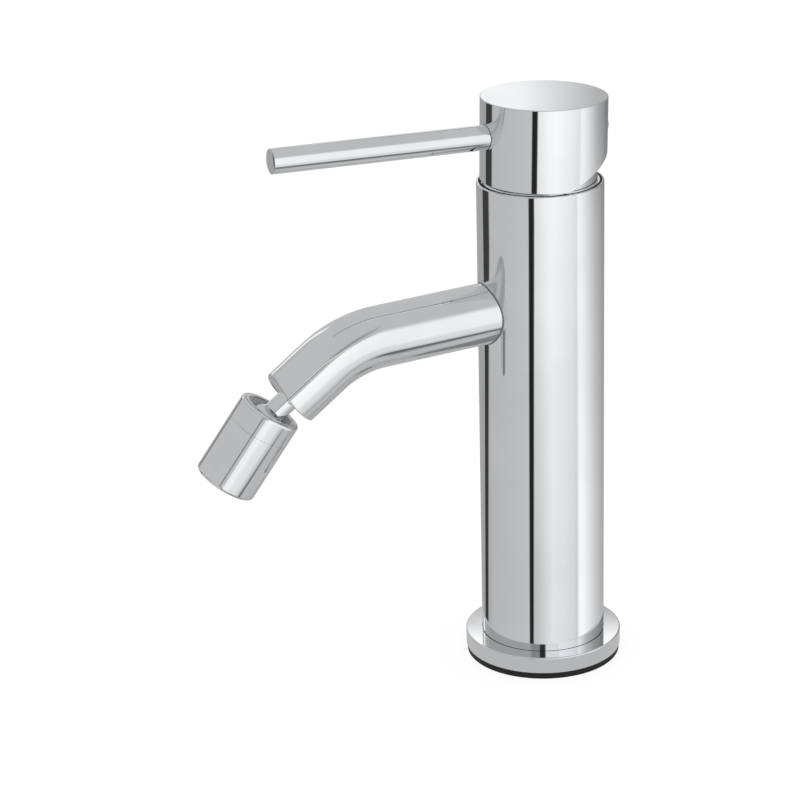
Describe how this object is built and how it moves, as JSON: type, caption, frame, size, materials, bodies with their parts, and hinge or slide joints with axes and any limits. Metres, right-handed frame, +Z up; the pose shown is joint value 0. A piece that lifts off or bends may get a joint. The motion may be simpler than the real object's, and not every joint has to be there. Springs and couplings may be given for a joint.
{
  "type": "single-lever bidet mixer",
  "caption": "Chrome bidet mixer: round column on a flanged base, bent tube spout with a ball-jointed aerator, and a cap lever with a rod that lifts for flow and turns for temperature.",
  "frame": {"origin": "on the column's axis at the underside of the base, where it meets the mounting surface", "axes": "+Z up along the column, -Y to the front, towards the spout and the lever rod, +X to the side"},
  "size_m": [0.0508, 0.1403, 0.1875],
  "materials": {
    "polished_chrome": "polished",
    "black_rubber": "matte",
    "raw_brass": "machined",
    "copper_pipe": "drawn",
    "white_plastic": "moulded",
    "blue_plastic": "moulded",
    "grey_plastic": "moulded",
    "white_ceramic": "lapped",
    "plain_steel": "machined"
  },
  "bodies": {
    "column": {"base_gasket": "black_rubber", "base_flange": "polished_chrome", "base_plug": "raw_brass", "base_plug_seal": "black_rubber", "body_tube": "polished_chrome", "cold_inlet_pipe": "copper_pipe", "hot_inlet_pipe": "copper_pipe", "inlet_pipe_seals": "black_rubber", "valve_seat": "raw_brass", "valve_seat_seal": "black_rubber", "cartridge_base": "white_plastic", "cartridge_port_seals": "black_rubber", "cartridge_housing": "white_plastic", "fixed_disc": "white_ceramic", "cartridge_nut": "raw_brass", "dome_cover": "polished_chrome", "spout": "polished_chrome", "outlet_bush": "polished_chrome"},
    "turn_stage": {"turning_guide": "grey_plastic", "pivot_pin": "plain_steel"},
    "lever": {"spindle": "plain_steel", "lever_head": "polished_chrome", "lever_rod": "polished_chrome", "grub_screw": "plain_steel", "screw_cover": "polished_chrome"},
    "slider": {"moving_disc": "white_ceramic", "disc_carrier": "blue_plastic"},
    "stem": {"ball_stem": "polished_chrome", "stem_seal": "black_rubber"},
    "swivel": {"ball_seat": "white_plastic", "swivel_collar": "polished_chrome"},
    "aerator": {"aerator_housing": "polished_chrome", "aerator_washer": "black_rubber", "aerator_insert": "white_plastic"}
  },
  "joints": [
    {"name": "lever_turn", "type": "hinge", "parent": "column", "child": "turn_stage", "pos_m": [0, 0, 0.1605], "axis": [0, 0, 1], "range_deg": [-45, 45]},
    {"name": "lever_lift", "type": "hinge", "parent": "turn_stage", "child": "lever", "pos_m": [0, 0, 0.1605], "axis": [-1, 0, 0], "range_deg": [-1.1, 18.9]},
    {"name": "disc_slide", "type": "slide", "parent": "turn_stage", "child": "slider", "axis": [0, -1, 0], "range_m": [-0.0003, 0.003]},
    {"name": "stem_turn", "type": "hinge", "parent": "column", "child": "stem", "pos_m": [0, -0.09461, 0.09503], "axis": [0, -0.8007, -0.599], "continuous": true},
    {"name": "swivel_tilt", "type": "hinge", "parent": "stem", "child": "swivel", "pos_m": [0, -0.09461, 0.09503], "axis": [0.9272, 0.2244, -0.3], "range_deg": [-46.5, 3.5]},
    {"name": "aerator_spin", "type": "hinge", "parent": "swivel", "child": "aerator", "pos_m": [0, -0.09461, 0.09503], "axis": [-0.1373, -0.5415, -0.8294], "continuous": true}
  ],
  "couplings": [
    {"joint": "disc_slide", "follows": "lever_lift", "m_per_rad": 0.0088}
  ]
}
